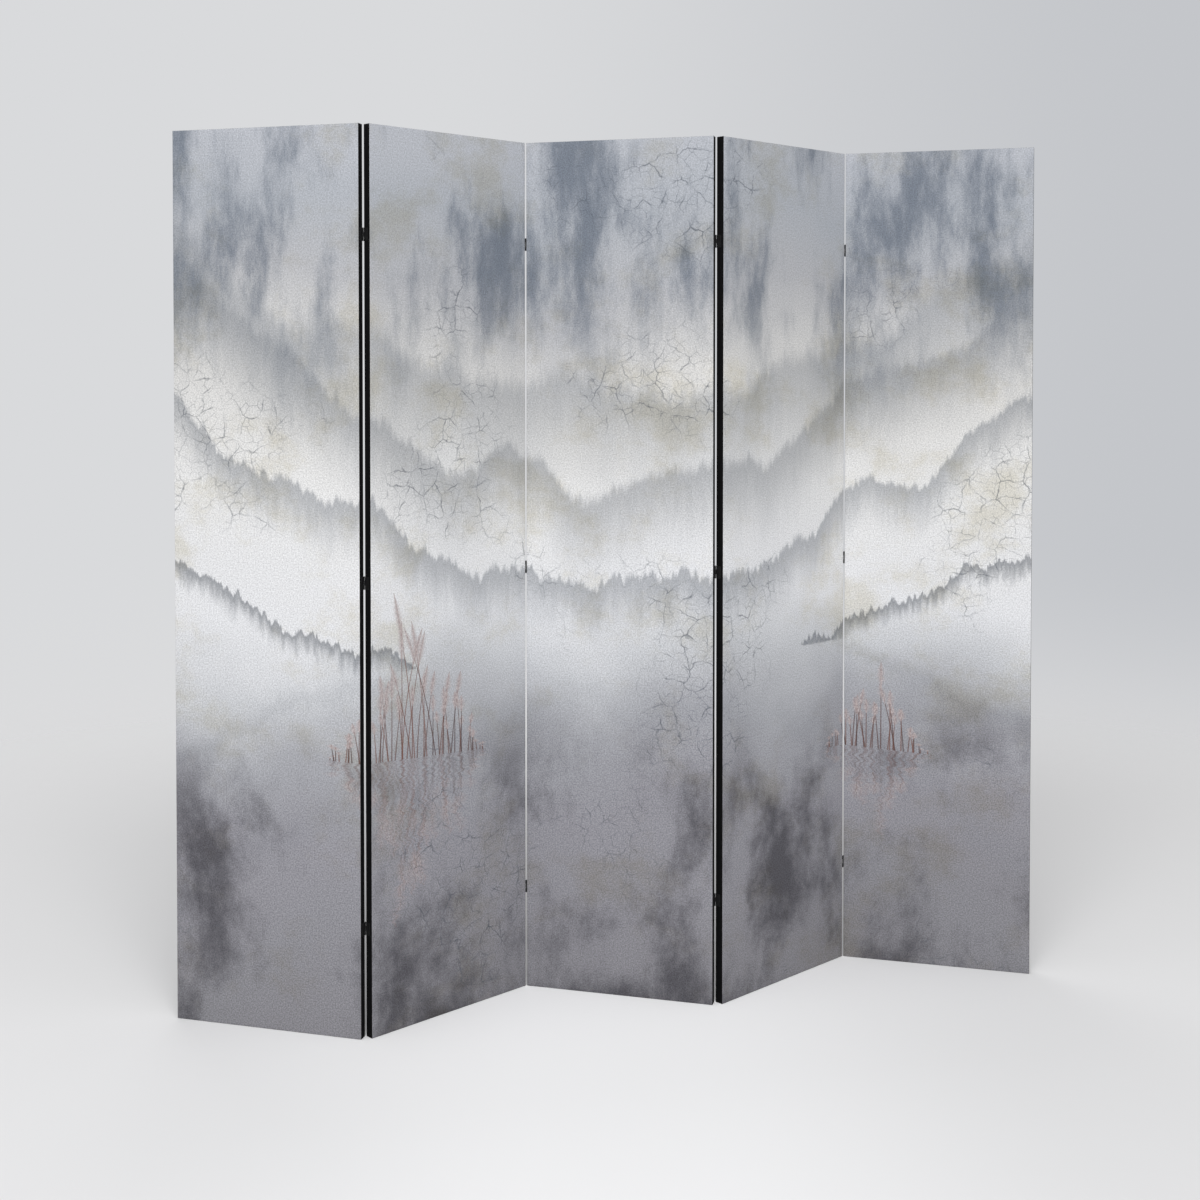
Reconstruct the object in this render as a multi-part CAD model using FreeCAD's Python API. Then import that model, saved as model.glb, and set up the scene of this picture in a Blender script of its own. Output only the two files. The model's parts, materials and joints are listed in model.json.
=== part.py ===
import FreeCAD, Part
import math
import os
from FreeCAD import Vector

# Five-panel folding screen: canvas stretched over timber frames, joined by small butt hinges.
# Millimetres, +Z up, the front faces -Y. The origin is on the floor under the middle panel's centre.

# Panels
panel_height = 1600.0
panel_width = 360.0
panel_swing = 30.0  # turn of each panel from the line of the screen, in degrees

# Timber frame
timber_thickness = 15.4
stile_width = 30.0
rail_width = 30.0
middle_rail_width = 34.0
tenon_length = 12.0
tenon_thickness = 5.0
tenon_shoulder = 6.0
tenon_clearance = 0.1

# Canvas and back cloth
canvas_thickness = 0.6
canvas_return = 24.0  # width of the turnover on the back
cloth_thickness = 0.4
cloth_inset = 4.0

# Staples
staple_crown = 10.0
staple_wire = 0.6
staple_crown_height = 0.4
staple_leg = 5.0
staple_inset = 14.0
staple_pitch = 80.0
staple_slack = 0.02

# Folds and hinges
fold_gap = 1.9  # between two side faces when the screen is flat
closing_clearance = 0.2  # between a closed panel's staple crowns and the middle of the closed gap
hinge_height = 23.0
hinge_end_distance = 191.0  # from the panel's end to the hinge's centre
leaf_thickness = 0.5
leaf_width = 11.0
leaf_corner_radius = 2.0
barrel_clearance = 0.1
middle_knuckle_height = 8.5
knuckle_clearance = 0.15
pin_radius = 0.4
pin_clearance = 0.05
pin_head_radius = 0.75
pin_head_height = 0.5

# Hinge screws
screw_radius = 1.25
screw_length = 12.0
screw_point_length = 3.0
screw_point_radius = 0.2
screw_end_distance = 4.75  # from the leaf's end to the screw's axis
screw_free_edge = 5.0  # from the leaf's free edge to the screw's axis
screw_clearance = 0.05
recess_width = 0.5
recess_length = 2.2
recess_depth = 0.35

# Sizes that follow
panel_thickness = timber_thickness + 2 * canvas_thickness
half_width = panel_width / 2
half_thickness = panel_thickness / 2
frame_half_width = half_width - canvas_thickness
frame_half_thickness = timber_thickness / 2
frame_bottom = canvas_thickness
frame_top = panel_height - canvas_thickness
stile_inner_edge = frame_half_width - stile_width
cloth_back = half_thickness + cloth_thickness
axis_across = half_width + fold_gap / 2
barrel_standoff = cloth_thickness + staple_crown_height + closing_clearance
axis_depth = half_thickness + barrel_standoff
barrel_radius = fold_gap / 2 - barrel_clearance
bore_radius = pin_radius + pin_clearance
screw_head_radius = screw_radius + leaf_thickness
screw_edge_distance = leaf_width - screw_free_edge
screw_offset = hinge_height / 2 - screw_end_distance
hinge_heights = [hinge_end_distance, panel_height / 2, panel_height - hinge_end_distance]

panel_numbers = [1, 2, 3, 4, 5]
fold_numbers = [1, 2, 3, 4]
middle_panel = 3
left_side = -1
right_side = 1
up = Vector(0, 0, 1)
across = Vector(1, 0, 0)
margin = 1.0  # how far a cutting tool reaches past the faces that it cuts
close = 0.001  # two places nearer than this are the same


def block(low, high):
    """A box between two opposite corners."""
    size = Vector(*high) - Vector(*low)
    return Part.makeBox(size.x, size.y, size.z, Vector(*low))


def spread(first, last, pitch):
    """Evenly spaced places from first to last, about one pitch apart."""
    steps = max(1, round((last - first) / pitch))
    return [first + (last - first) * step / steps for step in range(steps + 1)]


# Timber frame, in the panel's own frame: x across, y to the back, z up

def rail_with_tenons(low_z, high_z):
    """A rail between the stiles, with a stub tenon at each end."""
    rail = block(
        (-stile_inner_edge, -frame_half_thickness, low_z),
        (stile_inner_edge, frame_half_thickness, high_z),
    )
    tenon = block(
        (-stile_inner_edge - tenon_length, -tenon_thickness / 2, low_z + tenon_shoulder),
        (stile_inner_edge + tenon_length, tenon_thickness / 2, high_z - tenon_shoulder),
    )
    return rail.fuse(tenon).removeSplitter()


def mortise(side, low_z, high_z):
    """The socket for one rail's tenon in the stile on one side."""
    depth = tenon_length + tenon_clearance
    half_socket = tenon_thickness / 2 + tenon_clearance
    ends = sorted([side * (stile_inner_edge - margin), side * (stile_inner_edge + depth)])
    return block(
        (ends[0], -half_socket, low_z + tenon_shoulder - tenon_clearance),
        (ends[1], half_socket, high_z - tenon_shoulder + tenon_clearance),
    )


rail_spans = {
    "bottom_rail": (frame_bottom, frame_bottom + rail_width),
    "middle_rail": (panel_height / 2 - middle_rail_width / 2, panel_height / 2 + middle_rail_width / 2),
    "top_rail": (frame_top - rail_width, frame_top),
}


def plain_stile(side):
    """A full-height stile with the mortises for all three rails."""
    ends = sorted([side * stile_inner_edge, side * frame_half_width])
    stile = block(
        (ends[0], -frame_half_thickness, frame_bottom),
        (ends[1], frame_half_thickness, frame_top),
    )
    sockets = [mortise(side, low_z, high_z) for low_z, high_z in rail_spans.values()]
    return stile.cut(sockets)


# Canvas and back cloth

def plain_canvas():
    """The canvas as a tray round the frame, with its turnover on the back."""
    outside = block(
        (-half_width, -half_thickness, 0),
        (half_width, half_thickness, panel_height),
    )
    frame_space = block(
        (-frame_half_width, -frame_half_thickness, frame_bottom),
        (frame_half_width, frame_half_thickness, frame_top),
    )
    back_window = block(
        (-half_width + canvas_return, 0, canvas_return),
        (half_width - canvas_return, half_thickness + margin, panel_height - canvas_return),
    )
    return outside.cut([frame_space, back_window])


def plain_back_cloth():
    """The flat cloth that closes the back."""
    return block(
        (-half_width + cloth_inset, half_thickness, cloth_inset),
        (half_width - cloth_inset, cloth_back, panel_height - cloth_inset),
    )


# Staples

def staple(centre_x, centre_z, along_height):
    """One staple pressed in from the back; its crown lies on the cloth."""
    half_crown = staple_crown / 2
    inner = half_crown - staple_wire
    leg_end = cloth_back - staple_leg
    crown_back = cloth_back + staple_crown_height
    outline = [
        (-half_crown, crown_back),
        (half_crown, crown_back),
        (half_crown, leg_end),
        (inner, leg_end),
        (inner, cloth_back),
        (-inner, cloth_back),
        (-inner, leg_end),
        (-half_crown, leg_end),
    ]
    corners = [Vector(along, depth, -staple_wire / 2) for along, depth in outline]
    face = Part.Face(Part.makePolygon(corners + corners[:1]))
    wire = face.extrude(up * staple_wire)
    if along_height:
        wire.rotate(Vector(), Vector(0, 1, 0), 90)
    wire.translate(Vector(centre_x, 0, centre_z))
    return wire


def leg_slots(centre_x, centre_z, along_height):
    """The two slots that one staple's legs need in what they pass through."""
    half_slot = staple_wire / 2 + staple_slack
    leg_offset = (staple_crown - staple_wire) / 2
    slots = []
    for offset in (-leg_offset, leg_offset):
        x = centre_x if along_height else centre_x + offset
        z = centre_z + offset if along_height else centre_z
        slots.append(block(
            (x - half_slot, cloth_back - staple_leg - staple_slack, z - half_slot),
            (x + half_slot, cloth_back + margin, z + half_slot),
        ))
    return slots


def stile_staple_places(side):
    """Staples down one stile, crowns along the height."""
    heights = spread(staple_inset + staple_crown, panel_height - staple_inset - staple_crown, staple_pitch)
    return [(side * (half_width - staple_inset), z, True) for z in heights]


def rail_staple_places(centre_z):
    """Staples along one end rail, crowns along the width."""
    reach = stile_inner_edge - staple_crown
    return [(x, centre_z, False) for x in spread(-reach, reach, staple_pitch)]


staple_places = {
    "left_stile": stile_staple_places(left_side),
    "right_stile": stile_staple_places(right_side),
    "bottom_rail": rail_staple_places(staple_inset),
    "top_rail": rail_staple_places(panel_height - staple_inset),
}
all_staple_places = [place for places in staple_places.values() for place in places]


def cut_leg_slots(shape, places):
    """The shape with a slot for every leg of the staples at these places."""
    return shape.cut([slot for place in places for slot in leg_slots(*place)])


# Hinges, in the frame of the panel that carries the leaf

def axis_place(side, depth_sign, height):
    """The hinge axis beside one edge of a panel, at a height."""
    return Vector(side * axis_across, depth_sign * axis_depth, height)


def screw_place(side, depth_sign, height):
    """Where a screw's axis meets the side face."""
    return Vector(side * half_width, depth_sign * (half_thickness - screw_edge_distance), height)


def screw_heights(hinge_centre):
    return [hinge_centre - screw_offset, hinge_centre + screw_offset]


def knuckle_spans(hinge_centre, has_outer_knuckles):
    """Height spans of one leaf's knuckles."""
    low_end = hinge_centre - hinge_height / 2
    high_end = hinge_centre + hinge_height / 2
    half_middle = middle_knuckle_height / 2
    if not has_outer_knuckles:
        return [(hinge_centre - half_middle, hinge_centre + half_middle)]
    return [
        (low_end, hinge_centre - half_middle - knuckle_clearance),
        (hinge_centre + half_middle + knuckle_clearance, high_end),
    ]


def leaf(side, depth_sign, hinge_centre, has_outer_knuckles):
    """One hinge leaf: a screwed plate on the side face, rolled into its knuckles."""
    low_z = hinge_centre - hinge_height / 2
    high_z = hinge_centre + hinge_height / 2
    x_ends = sorted([side * half_width, side * (half_width + leaf_thickness)])
    free_edge = depth_sign * (half_thickness - leaf_width)
    y_ends = sorted([free_edge, depth_sign * axis_depth])
    plate = block((x_ends[0], y_ends[0], low_z), (x_ends[1], y_ends[1], high_z))
    free_corners = [
        edge for edge in plate.Edges
        if abs(edge.CenterOfMass.y - free_edge) < close and edge.BoundBox.ZLength < close
    ]
    plate = plate.makeFillet(leaf_corner_radius, free_corners)

    notch_reach = barrel_radius + barrel_clearance + knuckle_clearance
    notch_y = sorted([depth_sign * (axis_depth - notch_reach), depth_sign * (axis_depth + margin)])
    for other_low, other_high in knuckle_spans(hinge_centre, not has_outer_knuckles):
        plate = plate.cut(block(
            (x_ends[0] - margin, notch_y[0], other_low - knuckle_clearance),
            (x_ends[1] + margin, notch_y[1], other_high + knuckle_clearance),
        ))

    for span_low, span_high in knuckle_spans(hinge_centre, has_outer_knuckles):
        start = axis_place(side, depth_sign, span_low)
        plate = plate.fuse(Part.makeCylinder(barrel_radius, span_high - span_low, start, up))
    bore_start = axis_place(side, depth_sign, low_z - margin)
    plate = plate.cut(Part.makeCylinder(bore_radius, hinge_height + 2 * margin, bore_start, up))

    for height in screw_heights(hinge_centre):
        plate = plate.cut(Part.makeCone(
            screw_radius + screw_clearance,
            screw_head_radius + screw_clearance,
            leaf_thickness,
            screw_place(side, depth_sign, height),
            across * side,
        ))
    return plate.removeSplitter()


def hinge_pin(side, depth_sign, hinge_centre):
    """A pin through all three knuckles, with a button head at each end."""
    low_z = hinge_centre - hinge_height / 2
    high_z = hinge_centre + hinge_height / 2
    shank = Part.makeCylinder(pin_radius, hinge_height, axis_place(side, depth_sign, low_z), up)
    foot_start = axis_place(side, depth_sign, low_z - pin_head_height)
    foot = Part.makeCylinder(pin_head_radius, pin_head_height, foot_start, up)
    head = Part.makeCylinder(pin_head_radius, pin_head_height, axis_place(side, depth_sign, high_z), up)
    return shank.fuse([foot, head]).removeSplitter()


def hinge_screw(side, depth_sign, height):
    """A countersunk screw, flush with the leaf, with a cross recess in its head."""
    face = screw_place(side, depth_sign, height)
    outward = across * side
    straight = screw_length - leaf_thickness - screw_point_length
    head = Part.makeCone(screw_radius, screw_head_radius, leaf_thickness, face, outward)
    shank = Part.makeCylinder(screw_radius, straight, face, -outward)
    point_start = face - outward * straight
    point = Part.makeCone(screw_radius, screw_point_radius, screw_point_length, point_start, -outward)
    screw = head.fuse([shank, point]).removeSplitter()
    top = face + outward * leaf_thickness
    x_ends = sorted([top.x - side * recess_depth, top.x + side * margin])
    for half_y, half_z in ((recess_length / 2, recess_width / 2), (recess_width / 2, recess_length / 2)):
        screw = screw.cut(block(
            (x_ends[0], top.y - half_y, top.z - half_z),
            (x_ends[1], top.y + half_y, top.z + half_z),
        ))
    return screw


def screw_hole(side, depth_sign, height):
    """The hole that a screw needs in the canvas and the stile."""
    start = screw_place(side, depth_sign, height) + across * side * margin
    depth = screw_length - leaf_thickness + screw_clearance + margin
    return Part.makeCylinder(screw_radius + screw_clearance, depth, start, across * -side)


# Layout of the zigzag

def panel_angle(panel):
    return -panel_swing if panel % 2 else panel_swing


def barrel_sign(fold):
    """Folds 1 and 3 have their barrels behind the panels, folds 2 and 4 in front."""
    return 1 if fold % 2 else -1


def turned(point, angle):
    radians = math.radians(angle)
    return Vector(
        point.x * math.cos(radians) - point.y * math.sin(radians),
        point.x * math.sin(radians) + point.y * math.cos(radians),
        point.z,
    )


def panel_centres():
    """Each panel's centre on the floor, worked out from the middle panel by way of the hinge axes."""
    centres = {middle_panel: Vector()}
    for fold in range(middle_panel, fold_numbers[-1] + 1):
        sign = barrel_sign(fold)
        axis = centres[fold] + turned(axis_place(right_side, sign, 0), panel_angle(fold))
        centres[fold + 1] = axis - turned(axis_place(left_side, sign, 0), panel_angle(fold + 1))
    for fold in range(middle_panel - 1, 0, -1):
        sign = barrel_sign(fold)
        axis = centres[fold + 1] + turned(axis_place(left_side, sign, 0), panel_angle(fold + 1))
        centres[fold] = axis - turned(axis_place(right_side, sign, 0), panel_angle(fold))
    return centres


centres = panel_centres()


def export(node, solids, panel):
    """Turn solids from their panel's frame into the screen's frame and write them as one node."""
    placed = []
    for solid in solids:
        copy = solid.copy()
        copy.rotate(Vector(), up, panel_angle(panel))
        copy.translate(centres[panel])
        placed.append(copy)
    shape = placed[0] if len(placed) == 1 else Part.makeCompound(placed)
    shape.exportStep("parts/" + node + ".step")


def hinged_edges(panel):
    """The edges of a panel that carry hinges, each with the side of its barrel."""
    edges = []
    if panel > panel_numbers[0]:
        edges.append((left_side, barrel_sign(panel - 1)))
    if panel < panel_numbers[-1]:
        edges.append((right_side, barrel_sign(panel)))
    return edges


os.makedirs("parts", exist_ok=True)

canvas = cut_leg_slots(plain_canvas(), all_staple_places)
back_cloth = cut_leg_slots(plain_back_cloth(), all_staple_places)
rails = {name: rail_with_tenons(*span) for name, span in rail_spans.items()}
for name in ("top_rail", "bottom_rail"):
    rails[name] = cut_leg_slots(rails[name], staple_places[name])
stiles = {
    left_side: cut_leg_slots(plain_stile(left_side), staple_places["left_stile"]),
    right_side: cut_leg_slots(plain_stile(right_side), staple_places["right_stile"]),
}
stile_names = {left_side: "left_stile", right_side: "right_stile"}
staples = [staple(*place) for place in all_staple_places]

for panel in panel_numbers:
    prefix = "panel_" + str(panel) + "_"
    screws = []
    holes = {left_side: [], right_side: []}
    for side, depth_sign in hinged_edges(panel):
        for hinge_centre in hinge_heights:
            for height in screw_heights(hinge_centre):
                screws.append(hinge_screw(side, depth_sign, height))
                holes[side].append(screw_hole(side, depth_sign, height))
    export(prefix + "canvas", [canvas.cut(holes[left_side] + holes[right_side])], panel)
    export(prefix + "back_cloth", [back_cloth], panel)
    for side, name in stile_names.items():
        bored = stiles[side].cut(holes[side]) if holes[side] else stiles[side]
        export(prefix + name, [bored], panel)
    for name, rail in rails.items():
        export(prefix + name, [rail], panel)
    export(prefix + "staples", staples, panel)
    export(prefix + "hinge_screws", screws, panel)

for fold in fold_numbers:
    prefix = "fold_" + str(fold) + "_"
    sign = barrel_sign(fold)
    left_leaves = [leaf(right_side, sign, height, True) for height in hinge_heights]
    right_leaves = [leaf(left_side, sign, height, False) for height in hinge_heights]
    pins = [hinge_pin(right_side, sign, height) for height in hinge_heights]
    export(prefix + "left_leaves", left_leaves, fold)
    export(prefix + "right_leaves", right_leaves, fold + 1)
    export(prefix + "pins", pins, fold)
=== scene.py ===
import json
import math
from functools import partial

import bmesh
import bpy
from mathutils import Matrix, Vector


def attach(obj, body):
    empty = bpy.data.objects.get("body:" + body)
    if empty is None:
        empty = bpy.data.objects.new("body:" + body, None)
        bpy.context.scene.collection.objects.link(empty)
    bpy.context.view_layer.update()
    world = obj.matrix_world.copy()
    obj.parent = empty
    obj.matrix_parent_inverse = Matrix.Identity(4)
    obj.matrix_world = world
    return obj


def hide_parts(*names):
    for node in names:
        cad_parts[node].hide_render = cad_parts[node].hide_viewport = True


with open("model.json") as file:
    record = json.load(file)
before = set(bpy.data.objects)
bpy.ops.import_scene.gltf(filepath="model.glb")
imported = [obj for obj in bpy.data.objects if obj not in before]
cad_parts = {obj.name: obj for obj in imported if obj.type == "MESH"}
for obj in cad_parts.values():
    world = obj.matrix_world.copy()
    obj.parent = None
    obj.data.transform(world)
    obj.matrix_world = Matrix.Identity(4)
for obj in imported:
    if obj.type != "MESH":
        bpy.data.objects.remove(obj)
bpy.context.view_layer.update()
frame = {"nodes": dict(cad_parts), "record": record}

# the five panels, in metres: where each stands on the floor, its turn in degrees, its outside size
screen = {
    "centres": [mount["pos_m"] for mount in frame["record"]["mounts"]],
    "turns": [-30.0, 30.0, -30.0, 30.0, -30.0],
    "middlePanel": 3,
    "width": 0.360,
    "height": 1.600,
    "depth": 0.0166,
    "barWidth": 0.030,
    "middleRailWidth": 0.034,
    "outerBars": ("left_stile", "right_stile", "top_rail", "bottom_rail"),
}


# hex is sRGB, Blender's sockets take linear
def linear(hexCode):
    parts = [int(hexCode[i:i + 2], 16) / 255 for i in (0, 2, 4)]
    return tuple(p / 12.92 if p <= 0.04045 else ((p + 0.055) / 1.055) ** 2.4 for p in parts) + (1.0,)


# adds a node, sets it up and links it, gives back one of its outputs; colour stops go from low to high,
# each as hex or as a linear colour
def addNode(tree, kind, inputs=None, out=0, stops=(), **settings):
    node = tree.nodes.new(kind)
    for name, value in settings.items():
        setattr(node, name, value)
    for key, value in (inputs or {}).items():
        if isinstance(value, bpy.types.NodeSocket):
            tree.links.new(value, node.inputs[key])
        else:
            node.inputs[key].default_value = value
    for i, (place, colour) in enumerate(stops):
        ramp = node.color_ramp.elements
        spot = ramp[i] if i < 2 else ramp.new(1.0)
        spot.position = place
        spot.color = linear(colour) if isinstance(colour, str) else colour
    return node.outputs[out] if len(node.outputs) else node


def newMaterial(name):
    material = bpy.data.materials.new(name)
    material.use_nodes = True
    material.node_tree.nodes.clear()
    return material, partial(addNode, material.node_tree)


# height of a plain weave, one thread over the next
def plainWeave(add, place, thread):
    weaveAt = add("ShaderNodeMapping", {"Vector": place, "Scale": (math.pi / thread,) * 3})
    warp = add("ShaderNodeSeparateXYZ", {0: weaveAt})
    weft = add("ShaderNodeMath", {0: warp.node.outputs["Y"]}, operation="SINE")
    warp = add("ShaderNodeMath", {0: warp}, operation="SINE")
    return add("ShaderNodeMath", {0: warp, 1: weft}, operation="MULTIPLY")


# what the picture is made of: metres on the cloth, heights from the floor
picture = {
    "halfSpan": 0.90,               # half of the five panels side by side
    "thread": 0.0016,               # canvas thread spacing, about 0.6 mm on the real cloth
    "grain": 0.0026,                # print stipple, drawn about twice as coarse as it is so that it shows
    "stipple": (0.66, 1.30),        # its darkest and lightest dots
    "stippleAbove": 0.72,           # how much of it is left above the foot
    "roughness": (0.88, 0.74),      # of the dark and the light dots
    "drift": 0.30,                  # how far the bands wander up and down
    # share of the height and the tone there
    "bands": [
        (0.00, "908F94"), (0.10, "95949A"), (0.22, "9D9CA3"), (0.31, "ABACB2"), (0.385, "CFD1D5"),
        (0.46, "E8E9EC"), (0.60, "E9E9E9"), (0.70, "DDDCDA"), (0.82, "B9BABE"), (0.92, "B1B5BC"),
        (1.00, "BABDC4"),
    ],
    "waterline": 0.640,
    "shore": 0.004,                 # how soft the edge of the lake is
    "lakeWaves": (5.0, 95.0, 1.0),  # to the metre, across and up
    "lakeSway": 0.05,               # a wave shifts what is mirrored
    "lakeBlur": 5.0,                # a mirrored ridge is softer
    "lakeFade": 0.52,               # and fainter
    "bumps": (85.0, 16.0, 1.0),     # on each crest, to the metre across and up
    "bumpHeight": 0.05,
    # crest: height in the middle, roll: up and down, rise: climb to the sides, wander: hills to the metre,
    # edge: how soft the crest is, fade: where the mist takes over under it
    "ridges": [
        {"crest": 1.16, "roll": 0.30, "rise": 0.34, "wander": 2.3, "edge": 0.055, "fade": 0.30,
         "tone": "9EA1A6", "weight": 0.66, "seed": 4.3},
        {"crest": 0.98, "roll": 0.24, "rise": 0.48, "wander": 3.1, "edge": 0.030, "fade": 0.20,
         "tone": "93969B", "weight": 0.62, "seed": 11.9},
        {"crest": 0.785, "roll": 0.17, "rise": 0.44, "wander": 4.6, "edge": 0.016, "fade": 0.125,
         "tone": "80858D", "weight": 0.60, "seed": 27.2},
        {"crest": 0.590, "roll": 0.08, "rise": 0.304, "wander": 7.0, "edge": 0.007, "fade": 0.050,
         "tone": "686D75", "weight": 0.72, "seed": 40.6},
    ],
    # mauve-grey mottle on the lake bed, slate stains that run down from the top, khaki damp at any height;
    # scale: patches to the metre, cover: noise from clear to full, heights: from none to all of it
    "clouds": [
        {"start": (3.3, 1.7, 0.0), "scale": (4.2, 3.0, 1.0), "roughness": 0.66, "twist": 0.12,
         "cover": (0.42, 0.70), "weight": 0.85, "heights": (0.57, 0.33), "tone": "4C4B51", "blend": "MIX"},
        {"start": (8.1, 0.4, 0.0), "scale": (6.2, 2.1, 1.0), "roughness": 0.66, "twist": 0.0,
         "cover": (0.42, 0.68), "weight": 0.85, "heights": (1.00, 1.38), "tone": "69727F", "blend": "MIX"},
        {"start": (1.9, 6.3, 0.0), "scale": (4.6, 5.6, 1.0), "roughness": 0.70, "twist": 0.0,
         "cover": (0.48, 0.72), "weight": 0.55, "heights": (-2.0, -1.0), "tone": "E2DCC8",
         "blend": "MULTIPLY"},
    ],
    "reedFoot": 0.455,              # height of the bank in the middle
    "bankSlope": -0.055,
    "reedHeight": 0.33,
    "shortReed": 0.35,              # as a share of the tallest
    "reedWeight": 0.9,
    "mirrorFade": 0.66,             # a mirrored reed is fainter
    "mirrorSpread": 1.3,            # wider
    "mirrorSway": 0.03,             # and sways on the waves
    "stemPlaces": (0.28, 0.72),     # where it may stand in its cell
    "stemWidths": (0.0021, 0.0009),
    "stemTones": ("482D25", "7F5648"),
    "plumeStart": 0.70,             # share of the stem
    "plumeWidth": 0.019,
    "plumeTones": ("6F5450", "E2D8D8"),
    "hairs": (420.0, 170.0, 1.0),   # of a plume, to the metre
    # share of the span and how tall the reeds get there
    "reedPlaces": [(0.165, 0.0), (0.255, 1.0), (0.345, 0.0), (0.770, 0.0), (0.835, 0.62), (0.893, 0.0)],
    "reeds": [
        {"pitch": 0.034, "lean": 0.10, "bend": 0.35, "seed": 3.0},
        {"pitch": 0.027, "lean": -0.07, "bend": -0.28, "seed": 19.0},
        {"pitch": 0.041, "lean": 0.02, "bend": 0.75, "seed": 37.0},
        {"pitch": 0.023, "lean": 0.01, "bend": -0.05, "seed": 58.0},
        {"pitch": 0.047, "lean": -0.16, "bend": -0.60, "seed": 71.0},
    ],
    "crackTone": "4D545E",
    "crackWobble": (0.024, 0.024, 0.0),
    "crackPatches": (2.7, 2.7, 1.0),  # to the metre
    "cracks": [
        {"cell": 0.046, "width": 0.0016, "weight": 0.72},
        {"cell": 0.020, "width": 0.0011, "weight": 0.46},
    ],
    "edgeTones": [(0.35, "050506"), (0.75, "0E0E10")],
}


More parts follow.
